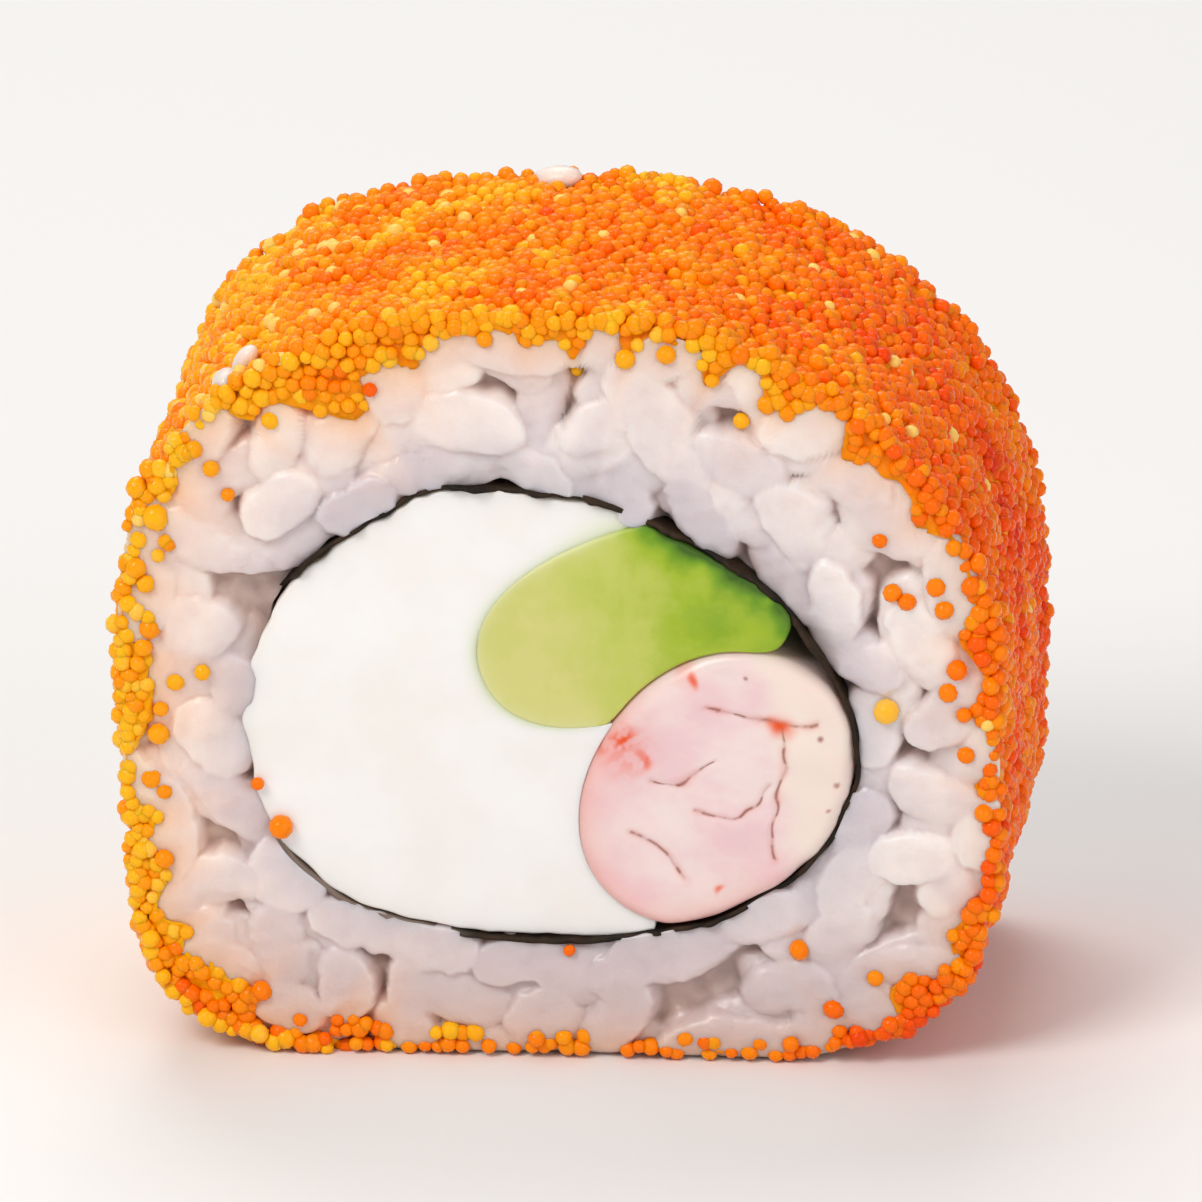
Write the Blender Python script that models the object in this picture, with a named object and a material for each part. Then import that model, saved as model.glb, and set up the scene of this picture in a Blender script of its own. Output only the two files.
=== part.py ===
"""One cut piece of an inside-out sushi roll, standing on its flattened side.

Orange fish roe coats a ring of rice. Inside the rice a band of nori wraps cream cheese,
a strip of avocado and a shrimp, which all run through from one knife cut to the other.
X is the width, Y runs along the roll from the front cut to the back one, Z is up.
The origin is the middle of the flat foot. Everything is in metres.
"""

import math
import random

import bmesh
import bpy
import numpy as np
from mathutils import Matrix, Vector

# Overall size of the piece
ROLL_WIDTH = 0.0494
ROLL_HEIGHT = 0.0440
ROLL_LENGTH = 0.0240
WIDEST_Z = 0.0225  # height of the widest level
FOOT_SINK = 0.0004  # how far the round outline runs below the table before it is cut flat
UNDER_SHARE = 0.55  # share of the outline that lies below the widest level
FRONT_POWERS = (2.1, 2.4, 5.0, 4.2)  # squareness of the quarters: up right, up left, down left, down right
BACK_POWERS = (2.15, 2.9, 5.0, 4.2)  # the left shoulder fills out towards the back cut

# Roe coat
ROE_PITCH = 0.0011  # distance between neighbouring mesh columns: one egg to every two
ROE_RELIEF = 0.00045  # height of an egg above the valley beside it
ROE_TOP, ROE_SIDE, ROE_FOOT = 0.0025, 0.0014, 0.0009  # thickness of the coat
ROE_WAVE = 0.0005  # unevenness of the border between roe and rice
ROE_RIM = 0.0006  # how far the coat's edge stays behind the highest rice grains

# Rice
GRAIN_LENGTH, GRAIN_WIDTH, GRAIN_HEIGHT = 0.0058, 0.0029, 0.0027
GRAIN_PROUD = 0.0011  # how far a grain stands out of the cut face of the rice
GRAINS_ON_A_FACE = 64
GRAIN_CLEARANCE = 0.00015  # kept between a grain and the roe or the nori

# Nori band, given by its outer side
NORI_CENTRE = (-0.0004, 0.0204)
NORI_RIGHT, NORI_LEFT = 0.0165, 0.0170
NORI_UP, NORI_DOWN = 0.0129, 0.0135
NORI_POWERS = (1.6, 2.1, 2.8, 2.35)  # the fillings press it flatter at the upper right
NORI_THICKNESS = 0.0004
NORI_CRINKLE = 0.00016

# Fillings: centre, half sizes along and across their own tilted axis, tilt in degrees, squareness
AVOCADO = {"centre": (0.0041, 0.0254), "along": 0.0089, "across": 0.0052, "tilt": 23.0, "power": 2.25}
SHRIMP = {"centre": (0.0087, 0.0162), "along": 0.0084, "across": 0.0068, "tilt": 50.0, "power": 2.05}
CROWN = 0.0005  # how far the middle of a soft filling's cut face stands above its edge

GAP = 0.0003  # kept between neighbouring solids
SEED = 7

MATERIALS = {  # colour, roughness
    "roe_coat": ((0.95, 0.30, 0.02), 0.28),
    "rice_ring": ((0.86, 0.82, 0.77), 0.45),
    "nori_band": ((0.035, 0.040, 0.022), 0.65),
    "cream_cheese": ((0.92, 0.89, 0.83), 0.50),
    "avocado": ((0.47, 0.56, 0.13), 0.38),
    "shrimp": ((0.87, 0.66, 0.60), 0.35),
}


# Outlines are closed, anticlockwise rows of (x, z) points, seen from the front.


def evenly_spaced(path, count):
    """A path walked in steps of equal length, without its end."""
    walked = np.concatenate([[0], np.cumsum(np.linalg.norm(np.diff(path, axis=0), axis=1))])
    stops = np.linspace(0, walked[-1], count, endpoint=False)
    return np.column_stack([np.interp(stops, walked, path[:, k]) for k in (0, 1)])


def quartered_path(centre, right, left, up, down, powers, start, end):
    """A superellipse whose four quarters have their own reach and squareness, between two angles."""
    angle = np.linspace(start, end, 2001)
    c, s = np.cos(angle), np.sin(angle)
    power = np.select([(c >= 0) & (s >= 0), (c < 0) & (s >= 0), (c < 0) & (s < 0)], powers[:3], powers[3])
    reach_x = np.where(c >= 0, right, left)
    reach_z = np.where(s >= 0, up, down)
    radius = ((abs(c) / reach_x) ** power + (abs(s) / reach_z) ** power) ** (-1 / power)
    return np.column_stack([radius * c, radius * s]) + centre


def outward(outline):
    """Unit normals of an outline."""
    along = np.roll(outline, -1, axis=0) - np.roll(outline, 1, axis=0)
    across = np.column_stack([along[:, 1], -along[:, 0]])
    return across / np.linalg.norm(across, axis=1)[:, None]


def grown(outline, distance):
    return outline + outward(outline) * np.reshape(distance, (-1, 1))


def ripple(count, waves, rng):
    """A closed random wave of about unit height, for borders that aren't smooth."""
    turn = np.linspace(0, 2 * math.pi, count, endpoint=False)
    total = sum(np.sin(n * turn + rng.uniform(0, 2 * math.pi)) * rng.uniform(0.6, 1.0) for n in waves)
    return total / math.sqrt(len(waves))


def cut_outline(powers, count):
    """Outside of the piece at one of its cuts: arched on top, with a flat foot at z = 0.

    The two halves are walked on their own, so that the points of the foot line up from cut to cut.
    """
    half, rise, drop = ROLL_WIDTH / 2, ROLL_HEIGHT - WIDEST_Z, WIDEST_Z + FOOT_SINK
    shape = ((0, WIDEST_Z), half, half, rise, drop, powers)
    arch = quartered_path(*shape, 0, math.pi)
    under = quartered_path(*shape, math.pi, 2 * math.pi)
    under[:, 1] = np.maximum(under[:, 1], 0)
    below = round(UNDER_SHARE * count)
    return np.vstack([evenly_spaced(arch, count - below), evenly_spaced(under, below)])


def roll_outline(y, count):
    """Outside of the piece at any depth, straight from the front cut to the back one."""
    share = 0.5 + y / ROLL_LENGTH
    return (1 - share) * cut_outline(FRONT_POWERS, count) + share * cut_outline(BACK_POWERS, count)


def rice_border(y, count):
    """Border between roe and rice: the roll's outline less the coat, which is thickest on top."""
    outline = roll_outline(y, count)
    facing_up = outward(outline)[:, 1]
    coat = ROE_SIDE + (ROE_TOP - ROE_SIDE) * np.clip(facing_up, 0, 1) ** 2
    coat += (ROE_FOOT - ROE_SIDE) * np.clip(-facing_up, 0, 1) ** 2
    wave = ROE_WAVE * ripple(count, (5, 8, 13, 17), random.Random(SEED))
    return grown(outline, -(coat + wave * np.clip(1 + facing_up, 0, 1)))


def nori_outline(count):
    shape = (NORI_CENTRE, NORI_RIGHT, NORI_LEFT, NORI_UP, NORI_DOWN, NORI_POWERS)
    outline = evenly_spaced(quartered_path(*shape, 0, 2 * math.pi), count)
    return grown(outline, NORI_CRINKLE * ripple(count, (7, 11, 16), random.Random(SEED + 1)))


def tilted_outline(filling, margin, count):
    """A filling's own superellipse, grown by a margin."""
    turn = np.linspace(0, 2 * math.pi, 721)
    c, s = np.cos(turn), np.sin(turn)
    power = 2 / filling["power"]
    along = (filling["along"] + margin) * np.sign(c) * abs(c) ** power
    across = (filling["across"] + margin) * np.sign(s) * abs(s) ** power
    tilt = math.radians(filling["tilt"])
    x = along * math.cos(tilt) - across * math.sin(tilt)
    z = along * math.sin(tilt) + across * math.cos(tilt)
    return evenly_spaced(np.column_stack([x, z]) + filling["centre"], count)


# Solids


def mesh_object(name, points, faces):
    mesh = bpy.data.meshes.new(name)
    mesh.from_pydata(np.asarray(points).tolist(), [], faces)
    mesh.validate()
    obj = bpy.data.objects.new(name, mesh)
    bpy.context.scene.collection.objects.link(obj)
    return obj


def at_depth(outline, y):
    """The (x, z) outline as 3-D points at that y, which may be one number or one for each point."""
    return np.column_stack([outline[:, 0], np.broadcast_to(y, len(outline)), outline[:, 1]])


def closed_band(name, rows):
    """A ring-shaped solid: rows of points round the ring, joined each to the next and the last to the first.

    Each square is cut along the diagonal that leaves out its even corners, so that a raised even point is a
    small pyramid.
    """
    rows = np.array(rows)
    m, n = rows.shape[:2]
    faces = []
    for j in range(m):
        for i in range(n):
            a, b = j * n + i, j * n + (i + 1) % n
            d, c = (j + 1) % m * n + i, (j + 1) % m * n + (i + 1) % n
            faces += [(a, b, d), (b, c, d)] if (i + j) % 2 == 0 else [(a, b, c), (a, c, d)]
    return mesh_object(name, rows.reshape(-1, 3), faces)


def crowned_bar(name, outline, half_length, crown):
    """A bar along Y whose two cut faces rise by crown from their edge to their middle."""
    middle = outline.mean(axis=0)
    steps = [(1.0, 0.0), (0.93, 0.6), (0.62, 1.0)]  # share of the outline, share of the crown
    rings = [at_depth(middle + (outline - middle) * size, -(half_length + crown * rise)) for size, rise in steps]
    rings = rings[::-1] + [ring * (1, -1, 1) for ring in rings]
    n = len(outline)
    faces = [tuple(range(n))]
    for j in range(len(rings) - 1):
        for i in range(n):
            a, b = j * n + i, j * n + (i + 1) % n
            faces.append((a, a + n, b + n, b))
    last = (len(rings) - 1) * n
    faces.append(tuple(range(last + n - 1, last - 1, -1)))
    obj = mesh_object(name, np.vstack(rings), faces)
    face_outwards(obj)
    return obj


def face_outwards(obj):
    work = bmesh.new()
    work.from_mesh(obj.data)
    bmesh.ops.recalc_face_normals(work, faces=work.faces)
    work.to_mesh(obj.data)
    work.free()


def keep_largest_shell(mesh):
    """Drops what isn't joined to the largest shell: sealed hollows and loose scraps."""
    work = bmesh.new()
    work.from_mesh(mesh)
    unseen = set(work.verts)
    shells = []
    while unseen:
        shell, edge_of_search = set(), [unseen.pop()]
        while edge_of_search:
            vert = edge_of_search.pop()
            shell.add(vert)
            near = {e.other_vert(vert) for e in vert.link_edges} & unseen
            unseen -= near
            edge_of_search += near
        shells.append(shell)
    largest = max(shells, key=len)
    bmesh.ops.delete(work, geom=[v for v in work.verts if v not in largest], context="VERTS")
    work.to_mesh(mesh)
    work.free()


def apply_boolean(obj, operation, helpers, solver="EXACT"):
    """Joins the helpers to obj, cuts them from it or keeps what they share, then removes them."""
    group = bpy.data.collections.new(f"{obj.name}_helpers")
    bpy.context.scene.collection.children.link(group)
    for helper in helpers:
        bpy.context.scene.collection.objects.unlink(helper)
        group.objects.link(helper)
    change = obj.modifiers.new(operation.title(), "BOOLEAN")
    change.operation = operation
    change.solver = solver
    change.operand_type = "COLLECTION"
    change.collection = group
    result = bpy.data.meshes.new_from_object(obj.evaluated_get(bpy.context.evaluated_depsgraph_get()))
    obj.modifiers.clear()
    keep_largest_shell(result)
    obj.data = result
    for helper in helpers:
        bpy.data.objects.remove(helper)
    bpy.data.collections.remove(group)


def dress(obj):
    colour, roughness = MATERIALS[obj.name]
    material = bpy.data.materials.new(obj.name)
    material.use_nodes = True
    shader = material.node_tree.nodes["Principled BSDF"]
    shader.inputs["Base Color"].default_value = (*colour, 1)
    shader.inputs["Roughness"].default_value = roughness
    shader.inputs["Metallic"].default_value = 0.0
    obj.data.materials.clear()
    obj.data.materials.append(material)


# Sub-parts


def make_roe_coat():
    """The coat of eggs: every second point of its outer side is an egg, and the foot is pressed flat."""
    rng = np.random.default_rng(SEED)
    outline_length = np.linalg.norm(np.diff(roll_outline(0, 800), axis=0), axis=1).sum()
    around = 2 * round(outline_length / ROE_PITCH / 2)
    edge = ROLL_LENGTH / 2 - ROE_RIM
    rows_along = round(2 * edge / ROE_PITCH)
    rows = []
    for j, y in enumerate(np.linspace(-edge, edge, rows_along)):
        valley = (np.arange(around) + j) % 2
        worn = rng.uniform(0, 0.35, around) * (1 - valley)
        at_edge = 0.6 if j in (0, rows_along - 1) else 0
        outline = roll_outline(y, around)
        clear_of_foot = np.clip(outline[:, 1] / (4 * ROE_RELIEF), 0, 1)
        skin = grown(outline, -ROE_RELIEF * clear_of_foot * np.clip(valley + worn + at_edge, 0, 1.3))
        skin[:, 1] = np.maximum(skin[:, 1], 0)
        stray = rng.uniform(-0.12, 0.12, around) * ROE_PITCH * clear_of_foot * (at_edge == 0)
        rows.append(at_depth(skin, y + stray))
    bulge = ROE_RIM * 0.5 * (1 - (np.arange(around) + rows_along) % 2)
    for side in (1, -1):
        border = rice_border(side * edge, around)
        lip = (roll_outline(side * edge, around) + border) / 2
        rim = [at_depth(lip, side * (edge + bulge)), at_depth(border, side * (edge - bulge / 2))]
        rows += rim[::side]
    coat = closed_band("roe_coat", rows)
    face_outwards(coat)
    return coat


def radius_at(outline, centre, angle):
    """Distance from the centre to the outline in the direction of each angle."""
    arm = outline - centre
    angles = np.arctan2(arm[:, 1], arm[:, 0])
    order = np.argsort(angles)
    return np.interp(angle, angles[order], np.linalg.norm(arm, axis=1)[order], period=2 * math.pi)


def grain_fits(spot, direction, length, outer, inner):
    """True if the grain's footprint stays between the nori and the roe."""
    turn = np.linspace(0, 2 * math.pi, 12, endpoint=False)
    side = np.array([-direction[1], direction[0]])
    foot = spot + np.outer(np.cos(turn) * length / 2, direction) + np.outer(np.sin(turn) * GRAIN_WIDTH / 2, side)
    arm = foot - NORI_CENTRE
    angle, reach = np.arctan2(arm[:, 1], arm[:, 0]), np.linalg.norm(arm, axis=1)
    inside = reach < radius_at(outer, NORI_CENTRE, angle) - GRAIN_CLEARANCE
    outside = reach > radius_at(inner, NORI_CENTRE, angle) + GRAIN_CLEARANCE
    return bool((inside & outside).all())


def grain_places(outer, inner, rng):
    """Spots, directions and lengths of the grains on one cut face, as dense as they fit without stacking."""
    places = []
    spacing = 1.1 * GRAIN_WIDTH
    for attempt in range(6000):
        if len(places) == GRAINS_ON_A_FACE:
            break
        angle = rng.uniform(-math.pi, math.pi)
        low, high = (radius_at(line, NORI_CENTRE, angle) for line in (inner, outer))
        reach = rng.uniform(low, high)
        spot = np.array(NORI_CENTRE) + reach * np.array([math.cos(angle), math.sin(angle)])
        heading = angle + math.pi / 2 + rng.gauss(0, 0.55)
        direction = np.array([math.cos(heading), math.sin(heading)])
        length = GRAIN_LENGTH * rng.uniform(0.75, 1.05)
        near = min((np.linalg.norm(spot - other[0]) for other in places), default=1)
        wanted = spacing * (1 if attempt < 3000 else 0.85)
        if near > wanted and grain_fits(spot, direction, length, outer, inner):
            places.append((spot, direction, length))
    return places


def make_grain(spot, direction, length, y, rng):
    """A rice grain: a long six-sided ball, tipped a little out of the cut face."""
    work = bmesh.new()
    bmesh.ops.create_uvsphere(work, u_segments=6, v_segments=4, radius=0.5)
    heading = Vector((direction[0], rng.uniform(-0.16, 0.16), direction[1]))
    lie = heading.to_track_quat("Z", "Y").to_matrix().to_4x4()
    size = Matrix.Diagonal((GRAIN_WIDTH, GRAIN_HEIGHT, length, 1))
    bmesh.ops.transform(work, matrix=Matrix.Translation((spot[0], y, spot[1])) @ lie @ size, verts=work.verts)
    mesh = bpy.data.meshes.new("grain")
    work.to_mesh(mesh)
    work.free()
    grain = bpy.data.objects.new("grain", mesh)
    bpy.context.scene.collection.objects.link(grain)
    return grain


def make_rice_ring():
    """The rice: a ring cut flat a little below the grains that show, with those grains fused on."""
    count = 88
    face = ROLL_LENGTH / 2 - GRAIN_PROUD
    inner = grown(nori_outline(count), GAP)
    outer = {side: grown(rice_border(side * face, count), -GAP) for side in (-1, 1)}
    rice = closed_band("rice_ring", [
        at_depth(outer[-1], -face), at_depth(outer[1], face), at_depth(inner, face), at_depth(inner, -face)
    ])
    face_outwards(rice)
    rng = random.Random(SEED)
    depth = ROLL_LENGTH / 2 - GRAIN_HEIGHT / 2
    grains = []
    for side in (-1, 1):
        for spot, direction, length in grain_places(outer[side], inner, rng):
            sunk = rng.uniform(0, 0.3) * GRAIN_PROUD
            grains.append(make_grain(spot, direction, length, side * (depth - sunk), rng))
    apply_boolean(rice, "UNION", grains)
    return rice


def make_nori_band():
    """The seaweed: a thin crinkled sleeve round the fillings."""
    outer = nori_outline(88)
    inner = grown(outer, -NORI_THICKNESS)
    edge = ROLL_LENGTH / 2 - GRAIN_PROUD * 0.8
    nori = closed_band("nori_band", [
        at_depth(outer, -edge), at_depth(outer, edge), at_depth(inner, edge), at_depth(inner, -edge)
    ])
    face_outwards(nori)
    return nori


def filling_room(count=72):
    """The space inside the nori."""
    return grown(nori_outline(count), -(NORI_THICKNESS + GAP))


def make_cutter(name, outline):
    return crowned_bar(name, outline, ROLL_LENGTH, 0)


def make_fillings():
    """Cream cheese fills what the avocado and the shrimp leave, and the avocado gives way to the shrimp."""
    half = ROLL_LENGTH / 2
    cream = crowned_bar("cream_cheese", filling_room(), half - 2 * CROWN, CROWN)
    cuts = [make_cutter("cut", tilted_outline(filling, GAP, 56)) for filling in (AVOCADO, SHRIMP)]
    apply_boolean(cream, "DIFFERENCE", cuts)

    avocado = crowned_bar("avocado", tilted_outline(AVOCADO, 0, 56), half - 2.4 * CROWN, CROWN)
    apply_boolean(avocado, "DIFFERENCE", [make_cutter("cut", tilted_outline(SHRIMP, GAP, 56))])
    apply_boolean(avocado, "INTERSECT", [make_cutter("room", filling_room())])

    shrimp = crowned_bar("shrimp", tilted_outline(SHRIMP, 0, 56), half - 1.8 * CROWN, 1.6 * CROWN)
    apply_boolean(shrimp, "INTERSECT", [make_cutter("room", filling_room())])
    return [cream, avocado, shrimp]


def main():
    for old in list(bpy.data.objects):
        bpy.data.objects.remove(old)
    centre = bpy.data.objects.new("california_roll", None)
    bpy.context.scene.collection.objects.link(centre)
    for part in [make_roe_coat(), make_rice_ring(), make_nori_band(), *make_fillings()]:
        dress(part)
        part.parent = centre


main()
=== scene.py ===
import math

import bpy
import numpy as np
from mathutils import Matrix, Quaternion, Vector


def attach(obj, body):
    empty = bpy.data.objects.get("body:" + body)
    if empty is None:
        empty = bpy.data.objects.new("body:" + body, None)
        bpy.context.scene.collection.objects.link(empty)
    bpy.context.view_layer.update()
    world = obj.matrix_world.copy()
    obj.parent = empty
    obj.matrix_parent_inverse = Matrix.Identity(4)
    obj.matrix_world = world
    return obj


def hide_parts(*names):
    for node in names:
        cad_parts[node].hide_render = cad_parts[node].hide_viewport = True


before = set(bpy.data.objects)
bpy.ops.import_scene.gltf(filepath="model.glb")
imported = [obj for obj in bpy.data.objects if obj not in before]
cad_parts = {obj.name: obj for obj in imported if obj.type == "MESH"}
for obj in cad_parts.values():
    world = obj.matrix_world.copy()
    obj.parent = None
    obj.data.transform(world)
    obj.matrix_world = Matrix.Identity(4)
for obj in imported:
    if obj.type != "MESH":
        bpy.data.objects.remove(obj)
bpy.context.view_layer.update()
print("frame loaded")

# The piece stands on z = 0, with its front cut at y = -length / 2. Metres, where a note doesn't say mm.
roll = {
    "hub": (-0.0004, 0.0204),  # x and z of the point that every direction is taken from
    "width": 0.0494,
    "height": 0.0440,
    "length": 0.0240,
    "widestZ": 0.0225,
    "footSink": 0.0004,
    "frontPowers": (2.1, 2.4, 5.0, 4.2),  # squareness: up right, up left, down left, down right
    "backPowers": (2.15, 2.9, 5.0, 4.2),
    "underShare": 0.55,
    "corner": 0.0012,  # roundness where the coat turns onto the cut
}
mm = 0.001
fullTurn = 2 * math.pi


# Outlines: rows of (x, z) seen from the front, anticlockwise

def walked(path, count):
    # the path in steps of equal length, without its end
    reach = np.concatenate([[0], np.cumsum(np.linalg.norm(np.diff(path, axis=0), axis=1))])
    stops = np.linspace(0, reach[-1], count, endpoint=False)
    return np.column_stack([np.interp(stops, reach, path[:, k]) for k in (0, 1)])


def quarteredPath(centre, reach, powers, start=0.0, end=fullTurn):
    # superellipse r = ((|cos a| / w)^n + (|sin a| / h)^n)^(-1/n), with its own w, h and n in each quarter
    angle = np.linspace(start, end, 2001)
    c, s = np.cos(angle), np.sin(angle)
    quarter = [(c >= 0) & (s >= 0), (c < 0) & (s >= 0), (c < 0) & (s < 0)]
    power = np.select(quarter, powers[:3], powers[3])
    wide = np.where(c >= 0, reach[0], reach[1])
    high = np.where(s >= 0, reach[2], reach[3])
    radius = ((abs(c) / wide) ** power + (abs(s) / high) ** power) ** (-1 / power)
    return np.column_stack([radius * c, radius * s]) + centre


def cutOutline(powers, count):
    half = roll["width"] / 2
    reach = (half, half, roll["height"] - roll["widestZ"], roll["widestZ"] + roll["footSink"])
    halves = ((0, math.pi), (math.pi, fullTurn))
    arch, under = [quarteredPath((0, roll["widestZ"]), reach, powers, *ends) for ends in halves]
    under[:, 1] = np.maximum(under[:, 1], 0)  # the flat foot
    below = round(roll["underShare"] * count)
    return np.vstack([walked(arch, count - below), walked(under, below)])


def outward(outline):
    along = np.roll(outline, -1, axis=0) - np.roll(outline, 1, axis=0)
    across = np.column_stack([along[:, 1], -along[:, 0]])
    return across / np.linalg.norm(across, axis=1)[:, None]


def reachAt(outline, centre, angle):
    # distance from the centre to the outline in each direction
    arm = outline - centre
    heading = np.arctan2(arm[:, 1], arm[:, 0])
    order = np.argsort(heading)
    return np.interp(angle, heading[order], np.linalg.norm(arm, axis=1)[order], period=fullTurn)


def polar(x, z, centre=roll["hub"]):
    return np.arctan2(z - centre[1], x - centre[0]), np.hypot(x - centre[0], z - centre[1])


def placed(radius, angle, centre=roll["hub"]):
    # x and z of the point at that distance and in that direction
    return centre[0] + radius * np.cos(angle), centre[1] + radius * np.sin(angle)


def compass(count, start=0.0):
    # directions evenly round a circle
    return np.linspace(start, start + fullTurn, count, endpoint=False)


def circle(angle, radius):
    # points to read noise at, so that it closes on itself
    return np.stack([np.cos(angle), np.sin(angle)], axis=-1) * radius


def ringRow(radius, angle, y, centre=roll["hub"]):
    # a row of points round the centre
    x, z = placed(radius, angle, centre)
    return np.column_stack([x, y + 0 * x, z])


def ripple(points, size, seed, octaves=3):
    # soft noise of about unit height: sines in random directions, each octave half as wide and half as high.
    # every use has its own seed
    rng = np.random.default_rng(seed)
    points = np.stack(points, axis=-1) if isinstance(points, tuple) else points
    total = np.zeros(points.shape[:-1])
    for octave in range(octaves):
        for _ in range(5):
            heading = rng.normal(size=points.shape[-1])
            heading *= fullTurn / (size / 2 ** octave) / np.linalg.norm(heading)
            total += np.sin(points @ heading * rng.uniform(0.7, 1.3) + rng.uniform(0, fullTurn)) / 2 ** octave
    return total / 3


def eased(value, low, high):
    # 0 below low, 1 above high, smooth between
    t = np.clip((value - low) / (high - low), 0, 1)
    return t * t * (3 - 2 * t)


def faded(distance, reach):
    # 1 at an edge, dying away behind it
    return np.exp(-np.clip(distance, 0, 1) / reach)


def softened(values, width):
    # a closed row smoothed with a bell of that many points
    reach = int(3 * width)
    bell = np.exp(-0.5 * (np.arange(-reach, reach + 1) / width) ** 2)
    return np.convolve(np.pad(values, reach, mode="wrap"), bell / bell.sum(), mode="valid")


def asSeen(angle, side):
    # the direction as somebody facing that cut would see it on the front one
    return angle if side < 0 else math.pi - angle


def readOff(table, angle, side=-1):
    # a table of directions in degrees and their values, at those directions on that cut
    return np.interp(np.degrees(asSeen(angle, side)), *np.array(table).T, period=360)


def cornerSink(inside):
    # how far the layer falls back near its corner: a quarter circle
    short = np.clip(1 - inside / roll["corner"], 0, 1)
    return roll["corner"] * (1 - np.sqrt(1 - short ** 2))


frontOutline = cutOutline(roll["frontPowers"], 2400)
backOutline = cutOutline(roll["backPowers"], 2400)
halfLength = roll["length"] / 2


# Meshes

def addObject(name, data):
    made = bpy.data.objects.new(name, data)
    bpy.context.scene.collection.objects.link(made)
    return made


def makePiece(name, points, faces, paint, marks):
    # marks are values at every point, which the paint reads
    mesh = bpy.data.meshes.new(name)
    mesh.from_pydata(points, [], faces)
    mesh.polygons.foreach_set("use_smooth", np.ones(len(mesh.polygons), bool))
    for key, values in marks.items():
        layer = mesh.attributes.new(key, "FLOAT", "POINT")
        layer.data.foreach_set("value", np.asarray(values, np.float32).ravel())
    mesh.materials.append(paint)
    piece = addObject(name, mesh)
    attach(piece, "root")
    return piece


def ringFaces(rows, around, closed):
    # squares between neighbouring rows, each row closed on itself; closed joins the last row to the first
    i = np.arange(around)
    j = np.arange(rows if closed else rows - 1)[:, None]
    a = j * around + i
    b = j * around + (i + 1) % around
    up = (j + 1) % rows * around
    return np.stack([a, up + i, up + (i + 1) % around, b], axis=-1).reshape(-1, 4)


def ballSkin(rows):
    # rows of points from one pole to the other, whose first and last rows are single points
    rows = np.array(rows)
    body = rows[1:-1]
    around = body.shape[1]
    points = np.vstack([body.reshape(-1, 3), rows[0][:1], rows[-1][:1]])
    faces = ringFaces(len(body), around, False).tolist()
    i = np.arange(around)
    top, bottom = len(points) - 2, len(points) - 1
    last = (len(body) - 1) * around
    faces += np.column_stack([np.full(around, top), i, (i + 1) % around]).tolist()
    faces += np.column_stack([last + (i + 1) % around, last + i, np.full(around, bottom)]).tolist()
    return points, faces


# Materials

def seen(*screen):
    # red, green and blue as they look on screen, 0 to 255, turned into light
    light = [((v / 255 + 0.055) / 1.055) ** 2.4 if v > 10 else v / 255 / 12.92 for v in screen]
    return (*light, 1.0)


class Wire:
    # a node's output that can be used in sums
    def __init__(self, paint, socket):
        self.paint = paint
        self.socket = socket

    def sum(self, operation, first, second):
        return self.paint.node("ShaderNodeMath", {"operation": operation}, {0: first, 1: second})

    def __add__(self, other):
        return self.sum("ADD", self, other)

    def __radd__(self, other):
        return self.sum("ADD", other, self)

    def __sub__(self, other):
        return self.sum("SUBTRACT", self, other)

    def __mul__(self, other):
        return self.sum("MULTIPLY", self, other)

    def __rmul__(self, other):
        return self.sum("MULTIPLY", other, self)


class Paint:
    # a material whose nodes are made by asking for what they give
    def __init__(self, name):
        self.material = bpy.data.materials.new(name)
        self.material.use_nodes = True
        self.tree = self.material.node_tree
        self.shader = self.tree.nodes["Principled BSDF"]
        self.place = self.node("ShaderNodeTexCoord", output="Object")

    def fill(self, socket, value):
        if isinstance(value, Wire):
            self.tree.links.new(value.socket, socket)
        else:
            socket.default_value = value

    def node(self, kind, settings=None, inputs=None, output=0):
        made = self.tree.nodes.new(kind)
        for key, value in (settings or {}).items():
            if key == "stops":
                ramp = made.color_ramp
                for place, _ in value[1:-1]:
                    ramp.elements.new(place)
                for element, (place, colour) in zip(ramp.elements, value):
                    element.position = place
                    element.color = colour
            else:
                setattr(made, key, value)
        for key, value in (inputs or {}).items():
            self.fill(made.inputs[key], value)
        return Wire(self, made.outputs[output])

    def read(self, attribute):
        return self.node("ShaderNodeAttribute", {"attribute_name": attribute}, output="Fac")

    def noise(self, scale, detail, rough=0.55, at=None):
        inputs = {"Vector": at or self.place, "Scale": scale, "Detail": detail, "Roughness": rough}
        return self.node("ShaderNodeTexNoise", None, inputs, "Fac")

    def stretched(self, scale):
        return self.node("ShaderNodeMapping", None, {"Vector": self.place, "Scale": scale})

    def limits(self, value, low, high):
        # 0 below low, 1 above high, smooth between
        inputs = {"Value": value, "From Min": low, "From Max": high}
        return self.node("ShaderNodeMapRange", {"interpolation_type": "SMOOTHSTEP"}, inputs)

    def blend(self, share, first, second):
        return self.node("ShaderNodeMix", {"data_type": "RGBA"}, {0: share, 6: first, 7: second}, 2)

    def ramp(self, value, stops):
        return self.node("ShaderNodeValToRGB", {"stops": stops}, {"Fac": value})

    def bump(self, height, strength, distance):
        inputs = {"Height": height, "Strength": strength, "Distance": distance}
        return self.node("ShaderNodeBump", None, inputs)

    def finish(self, **values):
        for key, value in values.items():
            self.fill(self.shader.inputs[key.replace("_", " ")], value)
        return self.material


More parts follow.
